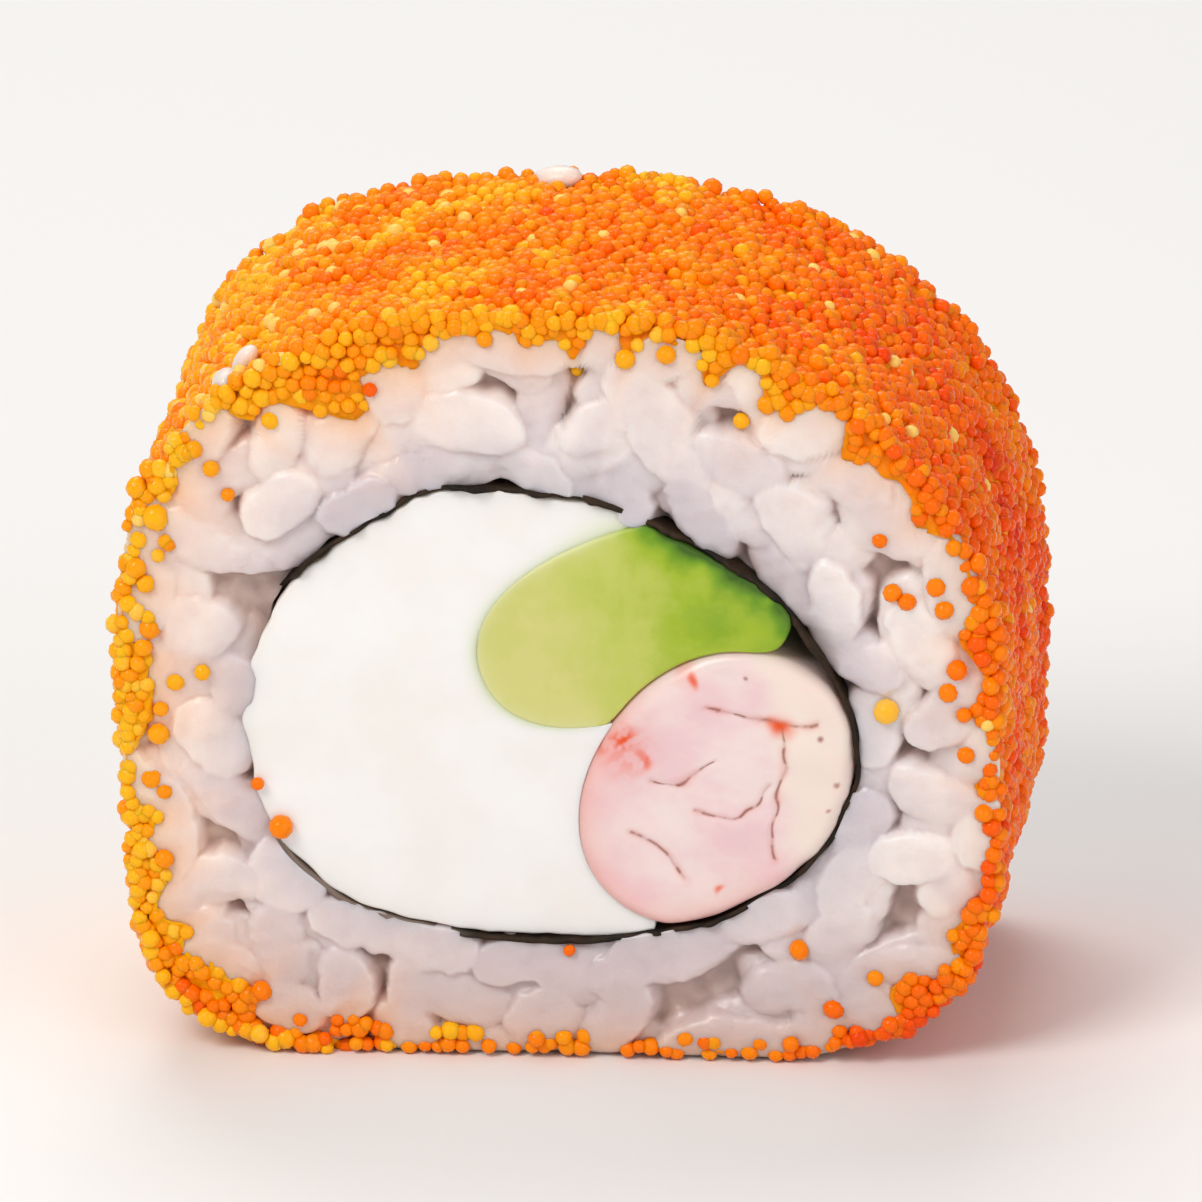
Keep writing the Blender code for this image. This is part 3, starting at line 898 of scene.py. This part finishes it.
def makeShrimp():
    # a bar whose outline is the tilted superellipse within the sleeve, its cut sunk along the seams
    angle = compass(shrimp["grid"][0])

    def shown(x, z):
        return insideTilted(x, z, shrimp) & insideSleeve(x, z, 0.00005)

    def veinPull(x, z, side):
        seam = sum(np.exp(-(away / 0.00022) ** 2) for away in toVeins(x, z))
        return 0.00012 * ripple((x, z), 0.006, 82, 2) - 0.00010 * np.clip(seam, 0, 1)

    reach = rayReach(shrimp["start"], angle, shown, 4.0)
    points, faces = barSkin(shrimp, angle, reach, veinPull)
    x, z = points[:, 0], points[:, 2]
    sway = shrimpSway(x, z)
    faint = 0.5 + 0.5 * ripple((x, z), 0.0025, 83, 2)
    away = np.min(toVeins(x, z), axis=0)
    broken = 0.3 + 0.7 * eased(ripple((x, z), 0.0012, 84, 2), -0.3, 0.2)
    vein = np.exp(-(away / (0.000055 + 0.00004 * faint)) ** 2) * broken
    for sx, sz, size in shrimp["specks"]:
        vein = np.maximum(vein, 0.8 * np.exp(-(np.hypot(x - sx * mm, z - sz * mm) / (size * mm)) ** 3))
    spot = 0.22 * np.exp(-(away / 0.00030) ** 2) * faint
    mottle = np.where(x < 0.0065, np.clip(0.8 + 0.8 * ripple((x, z), 0.0009, 85, 2), 0.42, 1), 1)
    for sx, sz, size, strength in shrimp["spots"]:
        out = np.hypot(x - sx * mm + 2 * sway, z - sz * mm - 1.5 * sway)
        spot = np.maximum(spot, strength * mottle * np.exp(-(out / (size * mm)) ** 2.5))
    lit = 0.2 + 0.8 * eased(-np.cos(polar(x, z, shrimp["start"])[0] - 0.6), -0.4, 0.8)
    rim = lit * faded(toRim(x, z, shrimp, angle, reach), 0.0009)
    light = 0.85 * eased(x + 0.15 * z + 2 * sway, 0.0138, 0.0158)
    marks = {"vein": np.clip(vein * (1 - 0.8 * spot), 0, 0.95), "spot": spot, "rim": rim, "light": light}
    piece = makePiece("shrimpTail", points, faces, shrimpPaint(shrimp), marks)
    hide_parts("shrimp")


def makeCream():
    # seen from a point inside both neighbours the cheese is a band between their outline and the sleeve
    start = cream["start"]
    angle = compass(2400)

    def neighbours(x, z):
        return insideTilted(x, z, avocado, -0.00015) | insideTilted(x, z, shrimp, -0.00010)

    near = rayReach(start, angle, neighbours, 4.0)
    far = rayReach(start, angle, lambda x, z: insideSleeve(x, z, -0.00002), 2.0)
    far -= 0.00011 * (1 + ripple(circle(angle, 0.019), 0.0024, 86, 2)) * eased(-np.cos(angle), 0.55, 0.9)
    wide = far - near > cream["thinnest"]
    left = len(angle) // 2
    first = left - np.argmin(wide[left::-1]) + 1
    last = left + np.argmin(wide[left:]) - 1
    pick = np.linspace(first, last, 420).round().astype(int)
    angle, near, far = angle[pick], near[pick], far[pick]
    edge = np.minimum(cream["edge"], 0.42 * (far - near))
    turn = np.linspace(0, math.pi / 2, 7)
    loop = []  # (radius, distance behind the cheese's cut, side), once round a section
    for side, count in ((-1, 64), (1, 30)):
        run = [(near, 0.0006 + 0 * near, side)]
        run += [(near + (far - near - edge) * t, 0 * near, side) for t in np.linspace(0, 1, count)[:-1]]
        run += [(far - edge * (1 - np.sin(a)), edge * (1 - np.cos(a)), side) for a in turn]
        loop += run if side < 0 else run[::-1]
    rows = []
    for radius, behind, side in loop:
        x, z = placed(radius, angle, start)
        crown = cream["crown"] * (1 - eased(np.hypot(x + 0.004, z - 0.019), 0.003, 0.015))
        y = side * (halfLength - cream["face"] - cream["crown"] + crown - behind + cutMarks(x, z, side))
        rows.append(np.column_stack([x, y, z]))
    sections = np.array(rows).transpose(1, 0, 2)[::-1]  # last one first, so that the faces point outwards
    ends = [np.tile(section.mean(axis=0), (len(rows), 1)) for section in (sections[0], sections[-1])]
    points, faces = ballSkin([ends[0], *sections, ends[1]])
    x, z = points[:, 0], points[:, 2]
    heading, radius = polar(x, z, start)
    heading = heading % fullTurn
    off = radius - np.interp(heading, angle, near) - 0.0001
    byAvocado = eased(-heading, -3.75, -3.45)
    green = 0.7 * faded(off, 0.00028 + 0.0005 * eased(x, -0.001, 0.004)) * byAvocado
    marks = {"green": green, "rim": faded(np.interp(heading, angle, far) - radius, 0.0004)}
    piece = makePiece("creamCheese", points, faces, creamPaint(cream), marks)
    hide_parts("cream_cheese")


# Roe: a wet bed with thousands of eggs on it

roe = {
    "egg": (0.00080, 0.00120),  # smallest and largest diameter
    "pitch": 0.00085,
    "cutPitch": 0.88,  # spacing on the cuts, as a share of that on the coat
    "doubled": 7,  # one egg in so many has another on top
    "lump": 0.00036,  # unevenness of the layer
    "heap": 0.00035,  # how far it stands out at the lower left
    "paleShare": 0.015,
    "colours": [
        (0.0, seen(255, 206, 104)), (0.07, seen(255, 184, 24)), (0.26, seen(255, 150, 4)),
        (0.5, seen(255, 120, 0)), (0.76, seen(250, 86, 0)), (1.0, seen(226, 54, 0)),
    ],
    "filmPale": seen(255, 164, 8),
    "filmDeep": seen(238, 96, 0),
    # painted light: the film's colour on the lit left
    "filmLeftLight": seen(255, 172, 6),
    # eggs that lie on the front cut: x, z, diameter and tint; lengths in mm
    "strays": [
        (-21.6, 31.3, 1.65, 0.1), (-20.9, 21.8, 1.1, 0.15), (-19.4, 22.4, 0.9, 0.12),
        (-22.0, 18.7, 1.3, 0.18), (-15.5, 13.3, 1.4, 0.38), (12.9, 6.8, 1.2, 0.4), (14.7, 3.4, 1.3, 0.6),
        (18.0, 20.8, 1.5, 0.04),
        (18.5, 27.7, 1.1, 0.38), (19.3, 27.2, 1.1, 0.45), (20.9, 28.1, 1.2, 0.4), (21.3, 26.8, 1.2, 0.4),
        (21.9, 23.3, 1.2, 0.5), (21.4, 22.0, 1.1, 0.4), (-19.3, 35.3, 1.1, 0.2), (-18.4, 34.2, 1.0, 0.2),
        (-22.6, 32.9, 1.3, 0.15), (-21.9, 33.9, 1.2, 0.2), (-22.8, 28.4, 1.3, 0.2), (-22.3, 27.5, 1.1, 0.15),
        (-22.2, 24.9, 1.3, 0.25), (-22.6, 23.8, 1.1, 0.2), (-22.5, 16.1, 1.2, 0.25), (-21.8, 15.4, 1.0, 0.3),
        (-22.0, 11.4, 1.2, 0.3), (-16.9, 3.7, 1.2, 0.45), (-21.8, 20.2, 0.9, 0.2), (-20.9, 29.8, 0.8, 0.3),
        (-17.6, 32.6, 0.8, 0.3), (-9.5, 38.9, 0.8, 0.7), (20.9, 5.3, 1.1, 0.6), (0.2, 6.4, 0.7, 0.6),
        (-16.7, 15.8, 0.8, 0.5),
    ],
}


def eggTemplate():
    # a ball on a grid of directions, with single poles
    around = 10
    lon = compass(around) + np.array([0, 0.31, 0, 0.31])[:, None]
    rings = ballRows(np.radians([36, 72, 108, 144])[:, None], lon)
    rows = [np.tile((0.0, 0.0, 1.0), (around, 1)), *rings, np.tile((0.0, 0.0, -1.0), (around, 1))]
    points, faces = ballSkin(rows)
    triangles = [f for f in faces if len(f) == 3]
    squares = [f for f in faces if len(f) == 4]
    triangles += [(f[0], f[1], f[2]) for f in squares] + [(f[0], f[2], f[3]) for f in squares]
    return points, np.array(triangles)


def eggCloud(name, centres, radii, tints, rng):
    # every egg is the template turned at random, slightly squashed, and set down at its centre
    template, triangles = eggTemplate()
    count = len(centres)
    q = rng.normal(size=(count, 4))
    q /= np.linalg.norm(q, axis=1)[:, None]
    w, x, y, z = q.T
    turn = np.array([
        [1 - 2 * (y * y + z * z), 2 * (x * y - z * w), 2 * (x * z + y * w)],
        [2 * (x * y + z * w), 1 - 2 * (x * x + z * z), 2 * (y * z - x * w)],
        [2 * (x * z - y * w), 2 * (y * z + x * w), 1 - 2 * (x * x + y * y)],
    ]).transpose(2, 0, 1)
    shape = template * rng.uniform(0.92, 1.05, (count, 1, 3))
    points = np.einsum("nij,nvj->nvi", turn, shape) * np.reshape(radii, (-1, 1, 1)) + centres[:, None]
    points[..., 2] = np.maximum(points[..., 2], 0.0)  # eggs under the piece are pressed flat
    faces = (triangles[None] + np.arange(count)[:, None, None] * len(template)).reshape(-1, 3)
    marks = {"tint": np.repeat(tints, len(template))}
    return makePiece(name, points.reshape(-1, 3), faces, eggPaint, marks)


def heaped(x, z):
    # 1 at the lower left corner, where the roe is thick
    return towards(-135, polar(x, z)[0], 0.93, 0.985)


def layerSink(at):
    # low and high places of the roe layer
    heap = heaped(at[:, 0], at[:, 2])
    lumps = roe["lump"] * np.clip(0.8 + 0.9 * ripple(at, 0.006, 91), 0.05, 1.7)
    return lumps * (1 - heap) - roe["heap"] * heap


def skinEggs(rng):
    # eggs on a staggered grid round the coat and along it
    pitch = roe["pitch"]
    length = np.linalg.norm(np.diff(frontOutline, axis=0), axis=1).sum()
    around = round(length / pitch)
    rows = round((roll["length"] - 1.1 * mm) / (0.87 * pitch))
    j, i = np.meshgrid(np.arange(rows), np.arange(around), indexing="ij")
    s = (i + 0.5 * (j % 2) + rng.uniform(-0.27, 0.27, i.shape)) / around % 1
    y = np.linspace(-1, 1, rows)[j] * (halfLength - 0.55 * mm) + rng.uniform(-0.24, 0.24, i.shape) * pitch
    s, y = s.ravel(), y.ravel()
    extra = rng.choice(len(s), len(s) // roe["doubled"], replace=False)
    s = np.concatenate([s, (s[extra] + 0.4 / around) % 1])
    y = np.concatenate([y, np.clip(y[extra] + 0.4 * pitch, -halfLength + 0.9 * mm, halfLength - 0.9 * mm)])
    raised = np.arange(len(s)) >= len(s) - len(extra)
    toCut = halfLength - abs(y)
    share = (0.5 + y / roll["length"])[:, None]
    low = (s * len(frontOutline)).astype(int) % len(frontOutline)
    outline = frontOutline[low] * (1 - share) + backOutline[low] * share
    normal = outward(frontOutline)[low] * (1 - share) + outward(backOutline)[low] * share
    radii = rng.uniform(*roe["egg"], len(s)) / 2
    at = np.column_stack([outline[:, 0], y, outline[:, 1]])
    lumps = layerSink(at) + rng.uniform(-0.12, 0.2, len(s)) * mm
    lumps = np.where(raised, 0.4 * lumps, np.maximum(lumps, -0.45 * mm * heaped(at[:, 0], at[:, 2])))
    sink = radii + lumps + 0.05 * mm + 0.9 * cornerSink(toCut)
    centre = outline - normal * sink[:, None]
    centres = np.column_stack([centre[:, 0], y, centre[:, 1]])
    # yellower towards the cuts; redder to the right and yellower at the far left is painted shade and light,
    # the lit side being the left
    side = centres[:, 0] / (roll["width"] / 2)
    rim = np.exp(-toCut / 0.0016) * (1 - 0.7 * eased(side, 0.4, 0.9))
    middle = np.exp(-(side / 0.4) ** 2)
    tints = 0.44 - 0.22 * rim + 0.16 * ripple(at, 0.010, 92) + 0.20 * side - 0.08 * (side < -0.6)
    tints = tints - 0.07 * middle + rng.normal(0, 0.11, len(s))
    # pale eggs: a few of the roe's own everywhere, and more at the upper left as painted highlights where the
    # light falls
    paleHere = roe["paleShare"] + 0.06 * eased(-centres[:, 0], 0.0, 0.018) * (centres[:, 2] > 0.03)
    tints = np.where(rng.uniform(0, 1, len(s)) < paleHere, 0.0, np.clip(tints, 0.08, 1))
    # the lowest row at the cuts is thin: rice shows there
    bare = (toCut < 2.2 * mm) & (centres[:, 2] < 1.2 * mm) & (abs(centres[:, 0] - 0.001) < 14 * mm)
    keep = ~bare | (rng.uniform(0, 1, len(s)) < 0.22)
    for loose in rice["loose"]:
        keep &= np.linalg.norm(centres - np.array(loose[:3]) * mm, axis=1) > (0.2 + 0.33 * loose[3]) * mm
    return centres[keep], radii[keep], tints[keep]


def cutEggs(side, rng):
    # eggs on the coat's rim at a cut, and the few that spread over the rice beside it
    pitch = roe["pitch"] * roe["cutPitch"]
    gx, gz = np.meshgrid(np.arange(-0.025, 0.025, pitch), np.arange(0.0, 0.045, 0.87 * pitch))
    gx = gx + 0.5 * pitch * (np.arange(len(gx)) % 2)[:, None]
    x = (gx + rng.uniform(-0.25, 0.25, gx.shape) * pitch).ravel()
    z = (gz + rng.uniform(-0.25, 0.25, gz.shape) * pitch).ravel()
    angle, radius = polar(x, z)
    inside = skinReach(angle, side) - radius
    over = riceReach(angle, side) - radius
    spread = 0.13 * faded(over, 0.0011) * (over < 3 * mm) * (1 - 0.7 * eased(x, 0.008, 0.014))
    keep = (inside > (0.42 - 0.4 * heaped(x, z)) * mm) & ((over < 0) | (rng.uniform(0, 1, len(x)) < spread))
    keep &= rng.uniform(0, 1, len(x)) > 0.1
    x, z, inside, over = x[keep], z[keep], inside[keep], over[keep]
    radii = rng.uniform(*roe["egg"], len(x)) / 2
    deep = radii + 0.9 * cornerSink(inside) + rng.uniform(0, 0.25, len(x)) * mm + 0.02 * mm
    lying = riceDepth(x, z, side) - 0.25 * radii
    deep = np.minimum(deep, np.maximum(lying + 0.6 * radii, radii))
    y = side * (halfLength - np.where(over > 0, np.maximum(lying, 0.6 * radii), deep))
    thin = eased(over, -2.2 * mm, 0.2 * mm)
    # painted shade and light: redder at the lower right and at the foot, where shade falls, and yellower at
    # the left, where the light falls
    lowRightShade = np.maximum(eased(x - z, 0.002, 0.022), 0.8 * eased(x, 0.009, 0.022))
    low = eased(-z, -0.009, -0.001)
    left = eased(-x, 0.012, 0.020) * (1 - low)
    tints = 0.30 - 0.12 * thin + 0.28 * lowRightShade + 0.22 * low - 0.09 * left + rng.normal(0, 0.08, len(x))
    return np.column_stack([x, y, z]), radii, np.clip(tints, 0.06, 1)


def strayEggs():
    # each lies on the highest rice below it, or on the cheese
    x, z, radii, tints = (np.array(roe["strays"]) * (mm, mm, mm / 2, 1)).T
    beside = [(0, 0), (0.6, 0), (-0.6, 0), (0, 0.6), (0, -0.6)]
    ground = [riceDepth(x + a * radii, z + b * radii, -1) for a, b in beside]
    depth = np.where(insideSleeve(x, z), cream["face"] + 0.1 * mm, np.min(ground, axis=0)) - 0.1 * radii
    return np.column_stack([x, -halfLength + np.maximum(depth, 0.55 * radii), z]), radii, tints


def makeRoe():
    rng = np.random.default_rng(12)
    centres, radii, tints = skinEggs(rng)
    right, over = centres[:, 0] >= 0, centres[:, 2] > 0.02
    quarters = {
        "roeOverLeft": over & ~right, "roeOverRight": over & right,
        "roeUnderLeft": ~over & ~right, "roeUnderRight": ~over & right,
    }
    pieces = [eggCloud(name, centres[q], radii[q], tints[q], rng) for name, q in quarters.items()]
    onCuts = [cutEggs(-1, rng), cutEggs(1, rng), strayEggs()]
    pieces.append(eggCloud("roeOnCuts", *(np.concatenate(part) for part in zip(*onCuts)), rng))
    for piece in pieces:
        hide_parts("roe_coat")
    print("eggs", len(centres), "on the coat,", sum(len(part[0]) for part in onCuts), "on the cuts")


def makeFilm():
    # the film between the eggs: out from the rice over each cut, round the corner and along the coat
    angle = compass(560)
    cuts = []
    for side in (-1, 1):
        inner = riceReach(angle, side) - 0.1 * mm
        outer = np.maximum(skinReach(angle, side) - 0.95 * mm, inner + 0.1 * mm)
        foot = eased(-roll["hub"][1] - outer * np.sin(angle), -2.6 * mm, -1.2 * mm)
        made = [ringRow(inner, angle, side * (halfLength - 3.0 * mm))]
        for t in np.linspace(0, 1, 12):
            flat = ringRow(inner + (outer - inner) * t, angle, side * halfLength)
            wet = 0.46 + 0.10 * ripple(flat, 0.007, 94, 2) + 0.11 * ripple(flat, 0.0011, 95, 2)
            # out of sight where rice stands on the foot
            flat[:, 1] -= side * (wet + 1.8 * foot + 0.6 * t ** 3) * mm
            made.append(flat)
        cuts.append(made)
    coat = []
    for y in np.linspace(-1, 1, 60) * (halfLength - 1.3 * mm):
        share = 0.5 + y / roll["length"]
        skin = (1 - share) * skinReach(angle, -1) + share * skinReach(angle, 1)
        at = ringRow(skin, angle, y)
        radius = skin - 0.54 * mm - layerSink(at) - 0.07 * mm * ripple(at, 0.0013, 93, 2)
        coat.append(ringRow(radius, angle, y))
    rows = cuts[0] + coat + cuts[1][::-1]
    points = np.array(rows).reshape(-1, 3)
    points[:, 2] = np.maximum(points[:, 2], 0.0001)
    # painted light: more of the lighter film colour towards the left, the lit side
    marks = {"amber": 0.75 * eased(-points[:, 0], 0.008, 0.020)}
    piece = makePiece("roeFilm", points, ringFaces(len(rows), len(angle), True), filmPaint(roe), marks)
    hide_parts("roe_coat")


makeNori()
print("nori made")
makeRice()
makeLooseRice()
print("rice made")
makeAvocado()
makeShrimp()
makeCream()
print("fillings made")
eggPaint = roePaint(roe)
makeFilm()
makeRoe()
print("roe made")


# Floor, light and camera

def makeFloor():
    side = 3.0
    mesh = bpy.data.meshes.new("floor")
    corners = [(-side, -side, 0), (side, -side, 0), (side, side, 0), (-side, side, 0)]
    mesh.from_pydata(corners, [], [(0, 1, 2, 3)])
    paint = Paint("floorPaint")
    mesh.materials.append(paint.finish(Base_Color=seen(236, 234, 232), Roughness=0.6))
    addObject("floor", mesh)


def aim(thing, place, target, turn=0.0):
    heading = (Vector(target) - Vector(place)).to_track_quat("-Z", "Y")
    thing.location = place
    thing.rotation_euler = (heading @ Quaternion((0, 0, 1), math.radians(turn))).to_euler()


light = {
    "sky": (0.95, 0.97, 1.0, 1.0),
    "skyStrength": 0.40,
    "target": (0, 0, 0.02),
    # place, width, watts, colour
    "lamps": [
        ("keyLamp", (-0.35, -0.45, 0.62), 0.36, 3.6, (1.0, 0.98, 0.95)),
        ("fillLamp", (0.55, -0.50, 0.30), 0.60, 1.9, (1.0, 0.98, 0.97)),
        ("topLamp", (-0.10, 0.35, 0.60), 0.40, 2.0, (1.0, 0.98, 0.95)),
    ],
}


def makeLights():
    world = bpy.data.worlds.new("studio")
    bpy.context.scene.world = world
    world.use_nodes = True
    background = world.node_tree.nodes["Background"]
    background.inputs["Color"].default_value = light["sky"]
    background.inputs["Strength"].default_value = light["skyStrength"]
    for name, place, width, watts, colour in light["lamps"]:
        lamp = bpy.data.lights.new(name, "AREA")
        lamp.size = width
        lamp.energy = watts
        lamp.color = colour
        aim(addObject(name, lamp), place, light["target"])


view = {
    "azimuth": 8.5,  # degrees towards +X of straight on
    "elevation": 20.6,
    "roll": -2.0,
    "distance": 0.662,
    "target": (0.0009, 0.0, 0.0225),
    "lens": 360.0,
}


def makeCamera():
    camera = bpy.data.cameras.new("camera")
    camera.lens = view["lens"]
    camera.sensor_width = 36.0
    camera.clip_start = 0.01
    holder = addObject("camera", camera)
    a, e = math.radians(view["azimuth"]), math.radians(view["elevation"])
    back = np.array([math.sin(a) * math.cos(e), -math.cos(a) * math.cos(e), math.sin(e)])
    aim(holder, tuple(np.array(view["target"]) + view["distance"] * back), view["target"], view["roll"])
    bpy.context.scene.camera = holder


makeFloor()
makeLights()
makeCamera()
bpy.context.scene.view_settings.view_transform = "Standard"
print("floor, lights and camera set")
